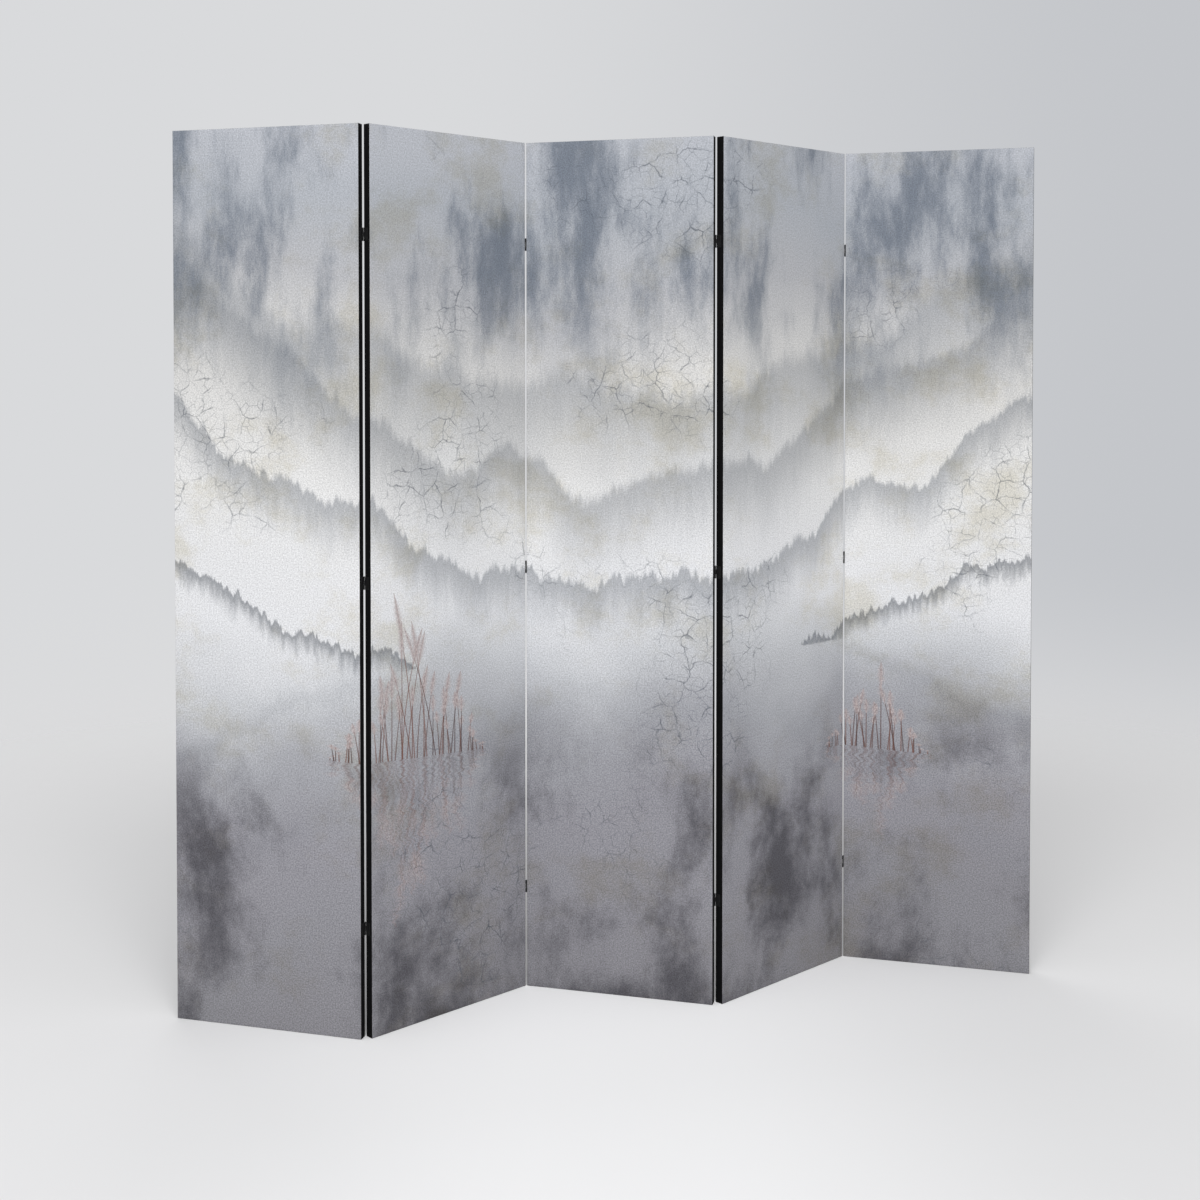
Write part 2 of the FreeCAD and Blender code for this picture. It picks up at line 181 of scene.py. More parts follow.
# printed cotton canvas, ink jet on a fine plain weave: matt, a stippled picture, black where it turns over
def makePrintedCanvas(look):
    material, add = newMaterial("printedCanvas")
    place = add("ShaderNodeUVMap", uv_map="clothPlace")
    u = add("ShaderNodeSeparateXYZ", {0: place})
    v = u.node.outputs["Y"]

    # sky, mist and water by height, with the height wandering so that no band is straight
    drift = add("ShaderNodeTexNoise", {"Vector": place, "Scale": 2.1, "Detail": 5.0, "Roughness": 0.55},
                noise_dimensions="2D")
    wandered = add("ShaderNodeMath", {0: drift, 1: look["drift"], 2: v}, operation="MULTIPLY_ADD")
    level = add("ShaderNodeMath", {0: wandered, 1: 1 / screen["height"],
                                   2: -look["drift"] / 2 / screen["height"]}, operation="MULTIPLY_ADD")
    paint = add("ShaderNodeValToRGB", {0: level}, stops=look["bands"])

    # ridge behind ridge, folded at the waterline so that each one also lies in the lake, blurred
    depthInLake = add("ShaderNodeMath", {0: look["waterline"], 1: v}, operation="SUBTRACT")
    inLake = add("ShaderNodeMapRange", {0: depthInLake, 1: 0.0, 2: look["shore"], 3: 0.0, 4: 1.0})
    folded = add("ShaderNodeMath", {0: depthInLake}, operation="ABSOLUTE")
    folded = add("ShaderNodeMath", {0: folded, 1: look["waterline"]}, operation="ADD")
    rippleAt = add("ShaderNodeMapping", {"Vector": place, "Scale": look["lakeWaves"]})
    ripple = add("ShaderNodeTexNoise", {"Vector": rippleAt, "Scale": 1.0, "Detail": 2.0},
                 noise_dimensions="2D")
    ripple = add("ShaderNodeMath", {0: ripple, 1: 0.5}, operation="SUBTRACT")
    ripple = add("ShaderNodeMath", {0: ripple, 1: inLake}, operation="MULTIPLY")
    across = add("ShaderNodeMath", {0: ripple, 1: look["lakeSway"], 2: u}, operation="MULTIPLY_ADD")
    softer = add("ShaderNodeMath", {0: inLake, 1: look["lakeBlur"], 2: 1.0}, operation="MULTIPLY_ADD")
    fainter = add("ShaderNodeMath", {0: inLake, 1: -look["lakeFade"], 2: 1.0}, operation="MULTIPLY_ADD")
    valley = add("ShaderNodeMath", {0: u, 1: u}, operation="MULTIPLY")
    bumpsAt = add("ShaderNodeMapping", {"Vector": place, "Scale": look["bumps"]})
    bumps = add("ShaderNodeTexNoise", {"Vector": bumpsAt, "Scale": 1.0, "Detail": 4.0, "Roughness": 0.6},
                noise_dimensions="2D")
    bumps = add("ShaderNodeMath", {0: bumps, 1: 0.5}, operation="SUBTRACT")
    for ridge in look["ridges"]:
        along = add("ShaderNodeMath", {0: across, 1: ridge["seed"]}, operation="ADD")
        crest = add("ShaderNodeTexNoise", {"W": along, "Scale": ridge["wander"], "Detail": 6.0,
                                           "Roughness": 0.52}, noise_dimensions="1D")
        crest = add("ShaderNodeMath", {0: crest, 1: ridge["roll"], 2: ridge["crest"] - ridge["roll"] / 2},
                    operation="MULTIPLY_ADD")
        crest = add("ShaderNodeMath", {0: valley, 1: ridge["rise"], 2: crest}, operation="MULTIPLY_ADD")
        crest = add("ShaderNodeMath", {0: bumps, 1: look["bumpHeight"], 2: crest}, operation="MULTIPLY_ADD")
        under = add("ShaderNodeMath", {0: crest, 1: folded}, operation="SUBTRACT")
        edge = add("ShaderNodeMath", {0: softer, 1: ridge["edge"]}, operation="MULTIPLY")
        shown = add("ShaderNodeMapRange", {0: under, 1: 0.0, 2: edge, 3: 0.0, 4: ridge["weight"]},
                    interpolation_type="SMOOTHSTEP")
        misted = add("ShaderNodeMapRange", {0: under, 1: 0.0, 2: ridge["fade"], 3: 1.0, 4: 0.0},
                     interpolation_type="SMOOTHSTEP")
        shown = add("ShaderNodeMath", {0: shown, 1: misted}, operation="MULTIPLY")
        shown = add("ShaderNodeMath", {0: shown, 1: fainter}, operation="MULTIPLY")
        paint = add("ShaderNodeMix", {0: shown, 6: paint, 7: linear(ridge["tone"])}, out=2, data_type="RGBA")

    # mottle, stains and damp
    for cloud in look["clouds"]:
        cloudAt = add("ShaderNodeMapping", {"Vector": place, "Location": cloud["start"],
                                            "Scale": cloud["scale"]})
        thick = add("ShaderNodeTexNoise", {"Vector": cloudAt, "Scale": 1.0, "Detail": 9.0,
                                           "Roughness": cloud["roughness"], "Distortion": cloud["twist"]},
                    noise_dimensions="2D")
        thick = add("ShaderNodeMapRange", {0: thick, 1: cloud["cover"][0], 2: cloud["cover"][1], 3: 0.0,
                                           4: cloud["weight"]}, interpolation_type="SMOOTHSTEP")
        here = add("ShaderNodeMapRange", {0: v, 1: cloud["heights"][0], 2: cloud["heights"][1], 3: 0.0,
                                          4: 1.0}, interpolation_type="SMOOTHSTEP")
        thick = add("ShaderNodeMath", {0: thick, 1: here}, operation="MULTIPLY")
        paint = add("ShaderNodeMix", {0: thick, 6: paint, 7: linear(cloud["tone"])}, out=2, data_type="RGBA",
                    blend_type=cloud["blend"])

    # reeds: one stem to a cell in each layer, every layer leaning its own way, mirrored at the foot
    foot = add("ShaderNodeMath", {0: u, 1: look["bankSlope"], 2: look["reedFoot"]}, operation="MULTIPLY_ADD")
    overFoot = add("ShaderNodeMath", {0: v, 1: foot}, operation="SUBTRACT")
    up = add("ShaderNodeMath", {0: overFoot}, operation="ABSOLUTE")
    mirrored = add("ShaderNodeMath", {0: overFoot, 1: 0.0}, operation="LESS_THAN")
    strength = add("ShaderNodeMath", {0: mirrored, 1: -look["mirrorFade"], 2: look["reedWeight"]},
                   operation="MULTIPLY_ADD")
    spread = add("ShaderNodeMath", {0: mirrored, 1: look["mirrorSpread"], 2: 1.0}, operation="MULTIPLY_ADD")
    swayed = add("ShaderNodeMath", {0: ripple, 1: mirrored}, operation="MULTIPLY")
    swayed = add("ShaderNodeMath", {0: swayed, 1: look["mirrorSway"], 2: u}, operation="MULTIPLY_ADD")
    hairsAt = add("ShaderNodeMapping", {"Vector": place, "Scale": look["hairs"]})
    hairs = add("ShaderNodeTexNoise", {"Vector": hairsAt, "Scale": 1.0, "Detail": 2.0},
                noise_dimensions="2D")
    for reed in look["reeds"]:
        pitch = reed["pitch"]
        cellShare = pitch / (2 * look["halfSpan"])
        lean = add("ShaderNodeMath", {0: up, 1: reed["bend"], 2: reed["lean"]}, operation="MULTIPLY_ADD")
        lean = add("ShaderNodeMath", {0: lean, 1: up}, operation="MULTIPLY")
        upright = add("ShaderNodeMath", {0: swayed, 1: lean}, operation="SUBTRACT")
        row = add("ShaderNodeMath", {0: upright, 1: 1 / pitch, 2: reed["seed"]}, operation="MULTIPLY_ADD")
        cell = add("ShaderNodeMath", {0: row}, operation="FLOOR")
        chance = add("ShaderNodeTexWhiteNoise", {"W": cell}, out=1, noise_dimensions="1D")
        chance = add("ShaderNodeSeparateColor", {0: chance})
        dice = chance.node.outputs
        spanPlace = add("ShaderNodeMath", {0: cell, 1: cellShare, 2: 0.5 - (reed["seed"] - 0.5) * cellShare},
                        operation="MULTIPLY_ADD")
        clump = add("ShaderNodeValToRGB", {0: spanPlace},
                    stops=[(share, (tall, tall, tall, 1.0)) for share, tall in look["reedPlaces"]])
        top = add("ShaderNodeMapRange", {0: dice[0], 3: look["shortReed"] * look["reedHeight"],
                                         4: look["reedHeight"]})
        top = add("ShaderNodeMath", {0: top, 1: clump}, operation="MULTIPLY")
        grown = add("ShaderNodeMath", {0: top, 1: up}, operation="GREATER_THAN")
        grown = add("ShaderNodeMath", {0: grown, 1: strength}, operation="MULTIPLY")
        part = add("ShaderNodeMath", {0: up, 1: top}, operation="DIVIDE")
        middle = add("ShaderNodeMapRange", {0: dice[1], 3: look["stemPlaces"][0], 4: look["stemPlaces"][1]})
        aside = add("ShaderNodeMath", {0: row}, operation="FRACT")
        aside = add("ShaderNodeMath", {0: aside, 1: middle}, operation="SUBTRACT")
        aside = add("ShaderNodeMath", {0: aside}, operation="ABSOLUTE")
        aside = add("ShaderNodeMath", {0: aside, 1: pitch}, operation="MULTIPLY")
        stemEdge = add("ShaderNodeMapRange", {0: part, 1: 0.0, 2: 1.0, 3: look["stemWidths"][0],
                                              4: look["stemWidths"][1]})
        stemEdge = add("ShaderNodeMath", {0: stemEdge, 1: spread}, operation="MULTIPLY")
        stem = add("ShaderNodeMapRange", {0: aside, 1: stemEdge, 2: 0.0, 3: 0.0, 4: 1.0})
        stem = add("ShaderNodeMath", {0: stem, 1: grown}, operation="MULTIPLY")
        rust = add("ShaderNodeMix", {0: dice[2], 6: linear(look["stemTones"][0]),
                                     7: linear(look["stemTones"][1])}, out=2, data_type="RGBA")
        paint = add("ShaderNodeMix", {0: stem, 6: paint, 7: rust}, out=2, data_type="RGBA")
        plumeAt = add("ShaderNodeMapRange", {0: part, 1: look["plumeStart"], 2: 1.0, 3: 0.0, 4: math.pi})
        plume = add("ShaderNodeMath", {0: plumeAt}, operation="SINE")
        plume = add("ShaderNodeMath", {0: plume, 1: hairs}, operation="MULTIPLY")
        plume = add("ShaderNodeMath", {0: plume, 1: look["plumeWidth"]}, operation="MULTIPLY")
        plume = add("ShaderNodeMath", {0: plume, 1: spread}, operation="MULTIPLY")
        plume = add("ShaderNodeMapRange", {0: aside, 1: plume, 2: 0.0, 3: 0.0, 4: 1.0})
        plume = add("ShaderNodeMath", {0: plume, 1: grown}, operation="MULTIPLY")
        frost = add("ShaderNodeMix", {0: hairs, 6: linear(look["plumeTones"][0]),
                                      7: linear(look["plumeTones"][1])}, out=2, data_type="RGBA")
        paint = add("ShaderNodeMix", {0: plume, 6: paint, 7: frost}, out=2, data_type="RGBA")

    # old plaster: two sizes of crack, only in patches, and each crack comes and goes
    wobble = add("ShaderNodeTexNoise", {"Vector": place, "Scale": 26.0, "Detail": 3.0}, out=1,
                 noise_dimensions="2D")
    cracked = add("ShaderNodeVectorMath", {0: wobble, 1: look["crackWobble"], 2: place},
                  operation="MULTIPLY_ADD")
    patchAt = add("ShaderNodeMapping", {"Vector": place, "Location": (5.2, 9.7, 0.0),
                                        "Scale": look["crackPatches"]})
    patch = add("ShaderNodeTexNoise", {"Vector": patchAt, "Scale": 1.0, "Detail": 3.0},
                noise_dimensions="2D")
    patch = add("ShaderNodeMapRange", {0: patch, 1: 0.54, 2: 0.66, 3: 0.0, 4: 1.0})
    comes = add("ShaderNodeTexNoise", {"Vector": place, "Scale": 34.0, "Detail": 2.0}, noise_dimensions="2D")
    comes = add("ShaderNodeMapRange", {0: comes, 1: 0.36, 2: 0.62, 3: 0.12, 4: 1.0})
    for crack in look["cracks"]:
        cell = add("ShaderNodeTexVoronoi", {"Vector": cracked, "Scale": 1 / crack["cell"]},
                   voronoi_dimensions="2D", feature="DISTANCE_TO_EDGE")
        line = add("ShaderNodeMapRange", {0: cell, 1: crack["width"] / crack["cell"], 2: 0.0, 3: 0.0,
                                          4: crack["weight"]})
        line = add("ShaderNodeMath", {0: line, 1: patch}, operation="MULTIPLY")
        line = add("ShaderNodeMath", {0: line, 1: comes}, operation="MULTIPLY")
        paint = add("ShaderNodeMix", {0: line, 6: paint, 7: linear(look["crackTone"])}, out=2,
                    data_type="RGBA")

    # stipple of the print, light and dark, strongest on the dark foot
    dark, light = look["stipple"]
    stipple = add("ShaderNodeTexNoise", {"Vector": place, "Scale": 1 / look["grain"], "Detail": 2.0,
                                         "Roughness": 0.7}, noise_dimensions="2D")
    stipple = add("ShaderNodeMapRange", {0: stipple, 1: 0.25, 2: 0.75, 3: dark, 4: light})
    stippled = add("ShaderNodeMapRange", {0: level, 1: 0.25, 2: 0.45, 3: 1.0, 4: look["stippleAbove"]})
    paint = add("ShaderNodeMix", {0: stippled, 6: paint, 7: stipple}, out=2, data_type="RGBA",
                blend_type="MULTIPLY")

    # the turned-over strips are dyed black, with a little lint on them
    turned = add("ShaderNodeAttribute", attribute_name="turnedOver", attribute_type="GEOMETRY", out=2)
    lint = add("ShaderNodeTexNoise", {"Vector": place, "Scale": 420.0, "Detail": 3.0}, noise_dimensions="2D")
    black = add("ShaderNodeValToRGB", {0: lint}, stops=look["edgeTones"])
    paint = add("ShaderNodeMix", {0: turned, 6: paint, 7: black}, out=2, data_type="RGBA")
    rough = add("ShaderNodeMapRange", {0: stipple, 1: dark, 2: light, 3: look["roughness"][0],
                                       4: look["roughness"][1]})
    weave = plainWeave(add, place, look["thread"])
    weaveBump = add("ShaderNodeBump", {"Strength": 0.35, "Distance": 0.0002, "Height": weave})
    shader = add("ShaderNodeBsdfPrincipled", {"Base Color": paint, "Roughness": rough, "Normal": weaveBump,
                                              "Specular IOR Level": 0.15})
    add("ShaderNodeOutputMaterial", {"Surface": shader})
    return material


backFinish = {
    "thread": 0.0018,           # about 0.7 mm on the real cloth
    "slubs": (900.0, 60.0, 1.0),  # to the metre
    "tones": [(0.45, "161618"), (1.0, "363639")],
    # pale line along the bar edges: rubbed cloth and a painted highlight
    "rubAndSheenTone": "565659",
    "rubAndSheenWidth": 0.0055,
}


# black polypropylene cloth over the back: matt, soft fibres, a fine weave, rubbed pale along the bars, the
# pale lines partly a painted highlight where the cloth turns over the bar edges
def makeBackCloth(look):
    material, add = newMaterial("blackBackCloth")
    place = add("ShaderNodeUVMap", uv_map="clothPlace")
    weave = plainWeave(add, place, look["thread"])
    slubAt = add("ShaderNodeMapping", {"Vector": place, "Scale": look["slubs"]})
    slub = add("ShaderNodeTexNoise", {"Vector": slubAt, "Scale": 1.0, "Detail": 3.0}, noise_dimensions="2D")
    dust = add("ShaderNodeTexNoise", {"Vector": place, "Scale": 9.0, "Detail": 6.0}, noise_dimensions="2D")
    thread = add("ShaderNodeMath", {0: weave, 1: 0.10, 2: slub}, operation="MULTIPLY_ADD")
    thread = add("ShaderNodeMath", {0: dust, 1: 0.45, 2: thread}, operation="MULTIPLY_ADD")
    tone = add("ShaderNodeValToRGB", {0: thread}, stops=look["tones"])
    across = add("ShaderNodeSeparateXYZ", {0: place})
    up = add("ShaderNodeMath", {0: across.node.outputs["Y"], 1: screen["height"] / 2}, operation="SUBTRACT")
    across = add("ShaderNodeMath", {0: across}, operation="ABSOLUTE")
    up = add("ShaderNodeMath", {0: up}, operation="ABSOLUTE")
    wear = add("ShaderNodeTexNoise", {"Vector": place, "Scale": 21.0, "Detail": 5.0}, noise_dimensions="2D")
    wear = add("ShaderNodeMapRange", {0: wear, 1: 0.38, 2: 0.66, 3: 0.04, 4: 0.55})
    # pale lines at the inner edges of stiles, end rails and middle rail, each only as long as its bar:
    # partly rubbing, partly a painted highlight on the cloth over the bar edge
    stileEdge = screen["width"] / 2 - screen["barWidth"]
    railEdge = screen["height"] / 2 - screen["barWidth"]
    middleEdge = screen["middleRailWidth"] / 2
    for over, edge, along, end in ((across, stileEdge, up, railEdge), (up, railEdge, across, stileEdge),
                                   (up, middleEdge, across, stileEdge)):
        rubAndSheen = add("ShaderNodeMath", {0: over, 1: edge}, operation="SUBTRACT")
        rubAndSheen = add("ShaderNodeMath", {0: rubAndSheen}, operation="ABSOLUTE")
        rubAndSheen = add("ShaderNodeMapRange", {0: rubAndSheen, 1: 0.0, 2: look["rubAndSheenWidth"], 3: 1.0, 4: 0.0},
                  interpolation_type="SMOOTHSTEP")
        onBar = add("ShaderNodeMath", {0: along, 1: end}, operation="LESS_THAN")
        rubAndSheen = add("ShaderNodeMath", {0: rubAndSheen, 1: onBar}, operation="MULTIPLY")
        rubAndSheen = add("ShaderNodeMath", {0: rubAndSheen, 1: wear}, operation="MULTIPLY")
        tone = add("ShaderNodeMix", {0: rubAndSheen, 6: tone, 7: linear(look["rubAndSheenTone"])}, out=2, data_type="RGBA")
    bump = add("ShaderNodeBump", {"Strength": 0.5, "Distance": 0.00025, "Height": weave})
    shader = add("ShaderNodeBsdfPrincipled", {"Base Color": tone, "Roughness": 0.92, "Normal": bump,
                                              "Specular IOR Level": 0.2, "Sheen Weight": 0.15,
                                              "Sheen Roughness": 0.5})
    add("ShaderNodeOutputMaterial", {"Surface": shader})
    return material


steelFinish = {
    "peel": 0.0009,
    "cloud": 0.011,
    "edgeRound": 0.00025,
    "coatTones": [(0.3, "0E0E0F"), (0.7, "151516")],
    "bareTone": "4C4C4E",
}


# pressed steel, satin black paint: soft highlight, fine peel, bare metal just showing at the edges
def makeBlackSteel(look):
    material, add = newMaterial("satinBlackSteel")
    place = add("ShaderNodeTexCoord", out=3)
    peel = add("ShaderNodeTexNoise", {"Vector": place, "Scale": 1 / look["peel"], "Detail": 2.0})
    cloud = add("ShaderNodeTexNoise", {"Vector": place, "Scale": 1 / look["cloud"], "Detail": 4.0})
    rounded = add("ShaderNodeBevel", {"Radius": look["edgeRound"]}, samples=4)
    plainNormal = add("ShaderNodeNewGeometry", out=1)
    facing = add("ShaderNodeVectorMath", {0: rounded, 1: plainNormal}, out=1, operation="DOT_PRODUCT")
    worn = add("ShaderNodeMapRange", {0: facing, 1: 0.96, 2: 0.80, 3: 0.0, 4: 0.35})
    worn = add("ShaderNodeMath", {0: worn, 1: cloud}, operation="MULTIPLY")
    coat = add("ShaderNodeValToRGB", {0: cloud}, stops=look["coatTones"])
    coat = add("ShaderNodeMix", {0: worn, 6: coat, 7: linear(look["bareTone"])}, out=2, data_type="RGBA")
    rough = add("ShaderNodeMapRange", {0: cloud, 1: 0.3, 2: 0.7, 3: 0.54, 4: 0.68})
    bump = add("ShaderNodeBump", {"Strength": 0.25, "Distance": 0.00005, "Height": peel, "Normal": rounded})
    shader = add("ShaderNodeBsdfPrincipled", {"Base Color": coat, "Roughness": rough, "Normal": bump})
    add("ShaderNodeOutputMaterial", {"Surface": shader})
    return material


wireFinish = {
    "cloud": 0.004,
    "tones": [(0.3, "8F9397"), (0.7, "B9BCBF")],
}


# zinc-coated wire: dull metal, faintly cloudy
def makeStapleWire(look):
    material, add = newMaterial("galvanisedWire")
    place = add("ShaderNodeTexCoord", out=3)
    cloud = add("ShaderNodeTexNoise", {"Vector": place, "Scale": 1 / look["cloud"], "Detail": 4.0})
    tone = add("ShaderNodeValToRGB", {0: cloud}, stops=look["tones"])
    rough = add("ShaderNodeMapRange", {0: cloud, 1: 0.3, 2: 0.7, 3: 0.34, 4: 0.5})
    shader = add("ShaderNodeBsdfPrincipled", {"Base Color": tone, "Metallic": 1.0, "Roughness": rough})
    add("ShaderNodeOutputMaterial", {"Surface": shader})
    return material


pineFinish = {
    "ring": 0.004,
    "fibre": 0.0007,
    "stretch": 0.06,            # the grain changes this much slower along the bar
    "tones": [(0.35, "E2C69A"), (0.5, "D9B985"), (0.68, "B98A54")],
}


# planed pine: pale, long late-wood lines along the bar, fine fibres
def makePine(name, turn, along, look):
    material, add = newMaterial(name)
    place = add("ShaderNodeTexCoord", out=3)
    bar = add("ShaderNodeMapping", {"Vector": place, "Rotation": (0.0, 0.0, math.radians(-turn))})
    grainAt = add("ShaderNodeMapping", {"Vector": bar, "Scale": along})
    ring = add("ShaderNodeTexNoise", {"Vector": grainAt, "Scale": 1 / look["ring"], "Detail": 4.0,
                                      "Distortion": 0.6})
    fibre = add("ShaderNodeTexNoise", {"Vector": grainAt, "Scale": 1 / look["fibre"], "Detail": 3.0})
    wood = add("ShaderNodeValToRGB", {0: ring}, stops=look["tones"])
    wood = add("ShaderNodeMix", {0: 0.25, 6: wood, 7: fibre}, out=2, data_type="RGBA", blend_type="OVERLAY")
    bump = add("ShaderNodeBump", {"Strength": 0.3, "Distance": 0.0001, "Height": fibre})
    shader = add("ShaderNodeBsdfPrincipled", {"Base Color": wood, "Roughness": 0.62, "Normal": bump})
    add("ShaderNodeOutputMaterial", {"Surface": shader})
    return material


printedCanvas = makePrintedCanvas(picture)
blackBackCloth = makeBackCloth(backFinish)
satinBlackSteel = makeBlackSteel(steelFinish)
galvanisedWire = makeStapleWire(wireFinish)
pineStile = makePine("pineStile", 0.0, (1.0, 1.0, pineFinish["stretch"]), pineFinish)
pineRails = {turn: makePine("pineRail" + side, turn, (pineFinish["stretch"], 1.0, 1.0), pineFinish)
             for turn, side in ((-30.0, "Odd"), (30.0, "Even"))}
print("materials made:", len(bpy.data.materials))


# a panel's own frame: x across, y to the back, z up from the floor
def panelPlace(panel):
    shift = Matrix.Translation(Vector(screen["centres"][panel - 1]))
    return shift @ Matrix.Rotation(math.radians(screen["turns"][panel - 1]), 4, "Z")


# grid lines from low to high: close together near both ends, a wider step between
def gridLines(low, high, nearEnds, step):
    first = low + nearEnds[-1]
    last = high - nearEnds[-1]
    count = max(1, round((last - first) / step))
    inside = [first + (last - first) * i / count for i in range(1, count)]
    return [low + d for d in nearEnds] + inside + [high - d for d in reversed(nearEnds)]


def newObject(name, data):
    thing = bpy.data.objects.new(name, data)
    bpy.context.scene.collection.objects.link(thing)
    return thing


# what the modifiers make of an object, as a plain mesh
def plainMesh(carrier):
    result = bpy.data.meshes.new_from_object(carrier.evaluated_get(bpy.context.evaluated_depsgraph_get()))
    bpy.data.objects.remove(carrier)
    result.shade_smooth()
    return result


# gives a sheet its thickness, inwards
def thickened(name, mesh, thickness):
    carrier = newObject(name, mesh)
    solid = carrier.modifiers.new("thickness", "SOLIDIFY")
    solid.thickness = thickness
    solid.offset = -1.0
    solid.use_even_offset = True
    return plainMesh(carrier)


def finishPiece(name, mesh, material, panel, node):
    piece = newObject(name, mesh)
    mesh.materials.clear()
    mesh.materials.append(material)
    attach(piece, "panel_%d" % panel)
    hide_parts(node)
    return piece


canvas = {
    "clothThickness": 0.0006,
    "returnWidth": 0.024,       # turned over to the back
    "edgeRadius": 0.0006,       # cloth bent round the timber's corner
    "bendLine": 0.42,           # a grid line in each bend, as a share of the radius
    "nearEdge": [0.005, 0.012],  # closer grid lines along the edge
    "step": 0.012,
    "sideStep": 0.006,
    "tension": 0.00022,         # faint pull between the staples
    "pullReach": 0.09,
    "pullPitch": 0.0817,        # as the staples in the stiles
    "foldStep": 0.0003,         # a folded corner lies this much on top of the cloth under it
}


# one cloth over front, sides, ends and a strip of the back, with every corner bent round
def makeCanvas(panel, look):
    halfWidth, height, halfDepth = screen["width"] / 2, screen["height"], screen["depth"] / 2
    radius = look["edgeRadius"]
    bend = [0.0, look["bendLine"] * radius, radius]
    nearEnds = bend + look["nearEdge"] + [look["returnWidth"]]
    xs = gridLines(-halfWidth, halfWidth, nearEnds, look["step"])
    zs = gridLines(0.0, height, nearEnds, look["step"])
    ys = gridLines(-halfDepth, halfDepth, bend, look["sideStep"])
    nx, ny, nz = len(xs) - 1, len(ys) - 1, len(zs) - 1
    low = Vector((-halfWidth + radius, -halfDepth + radius, radius))
    high = Vector((halfWidth - radius, halfDepth - radius, height - radius))
    place = panelPlace(panel)
    picturePlace = (panel - screen["middlePanel"]) * screen["width"]
    shape = bmesh.new()
    uvMap = shape.loops.layers.uv.new("clothPlace")
    turnedOver = shape.faces.layers.float.new("turnedOver")
    found = {}

    # waves at the staples that die away from the edge, and a slow slack that differs on each panel
    def pull(x, z):
        rim = min(halfWidth - abs(x), z, height - z) / look["pullReach"]
        wave = math.cos(2 * math.pi * z / look["pullPitch"]) * math.exp(-rim * 2.0)
        slack = math.sin(2.1 * z + panel) * math.sin(7.0 * x + 1.3 * panel)
        return look["tension"] * min(1.0, 3 * rim) * (wave + slack)

    def corner(i, j, k):
        if (i, j, k) not in found:
            spot = Vector((xs[i], ys[j], zs[k]))
            core = Vector(max(a, min(p, b)) for a, p, b in zip(low, spot, high))
            if (spot - core).length > 1e-9:
                spot = core + (spot - core).normalized() * radius
            if j == 0:
                spot.y += pull(xs[i], zs[k])
            found[i, j, k] = shape.verts.new(place @ spot)
        return found[i, j, k]

    # where a grid point lies on the flat cloth
    def flatPlace(side, i, j, k):
        x, y, z = xs[i], ys[j] + halfDepth, zs[k]
        if side == "left":
            x = -halfWidth - y
        elif side == "right":
            x = halfWidth + y
        elif side == "top":
            z = height + y
        elif side == "bottom":
            z = -y
        elif side == "back":
            x = -x + math.copysign(screen["width"] + screen["depth"], x)
        return picturePlace + x, z

    def patch(side, cells):
        face = shape.faces.new([corner(*c) for c in cells])
        face[turnedOver] = 0.0 if side == "front" else 1.0
        for loop, c in zip(face.loops, cells):
            loop[uvMap].uv = flatPlace(side, *c)

    edge = look["returnWidth"] - 1e-6  # a hair less, so that rounding drops no cell
    for i in range(nx):
        for k in range(nz):
            patch("front", [(i, 0, k), (i + 1, 0, k), (i + 1, 0, k + 1), (i, 0, k + 1)])
            inRow = zs[k] >= edge and zs[k + 1] <= height - edge
            if not (inRow and xs[i] >= -halfWidth + edge and xs[i + 1] <= halfWidth - edge):
                patch("back", [(i, ny, k), (i, ny, k + 1), (i + 1, ny, k + 1), (i + 1, ny, k)])
        for j in range(ny):
            patch("top", [(i, j, nz), (i + 1, j, nz), (i + 1, j + 1, nz), (i, j + 1, nz)])
            patch("bottom", [(i, j, 0), (i, j + 1, 0), (i + 1, j + 1, 0), (i + 1, j, 0)])
    for j in range(ny):
        for k in range(nz):
            patch("left", [(0, j, k), (0, j, k + 1), (0, j + 1, k + 1), (0, j + 1, k)])
            patch("right", [(nx, j, k), (nx, j + 1, k), (nx, j + 1, k + 1), (nx, j, k + 1)])
    # at each corner the spare cloth is folded into a triangle over the end
    rim = halfDepth - radius
    for side in (-1, 1):
        outer = side * (halfWidth - radius)
        inner = side * (halfWidth - 2 * halfDepth)
        for end, step in ((0.0, -look["foldStep"]), (height, look["foldStep"])):
            spots = [(outer, -rim), (outer, rim), (inner, rim)]
            if (side > 0) != (end > 0):
                spots.reverse()
            face = shape.faces.new([shape.verts.new(place @ Vector((x, y, end + step))) for x, y in spots])
            face[turnedOver] = 1.0
            for loop, (x, y) in zip(face.loops, spots):
                loop[uvMap].uv = picturePlace + x, height + y
    mesh = bpy.data.meshes.new("canvas")
    shape.to_mesh(mesh)
    shape.free()
    mesh = thickened("canvasCloth", mesh, look["clothThickness"])
    name = "panel_%d_canvas" % panel
    piece = finishPiece("canvas_%d" % panel, mesh, printedCanvas, panel, name)


staples = {
    "stileAcross": 0.166,
    "stileHeights": [0.024 + (1.576 - 0.024) * i / 19 for i in range(20)],
    "railAcross": [-0.1394, -0.0465, 0.0465, 0.1394],
    "railHeights": [0.014, 1.586],
    "crownLength": 0.010,
    "legLength": 0.005,
    "wireWidth": 0.00050,
    "cornerRadius": 0.0009,
    "looseTurn": 5.0,           # degrees either way, as a hand stapler leaves them
    "seed": 40,
}


# places on the back of a panel: across, up, turn of the crown
def staplePlaces(look):
    upright = [(side * look["stileAcross"], z, math.pi / 2)
               for side in (-1, 1) for z in look["stileHeights"]]
    level = [(x, z, 0.0) for z in look["railHeights"] for x in look["railAcross"]]
    return upright + level


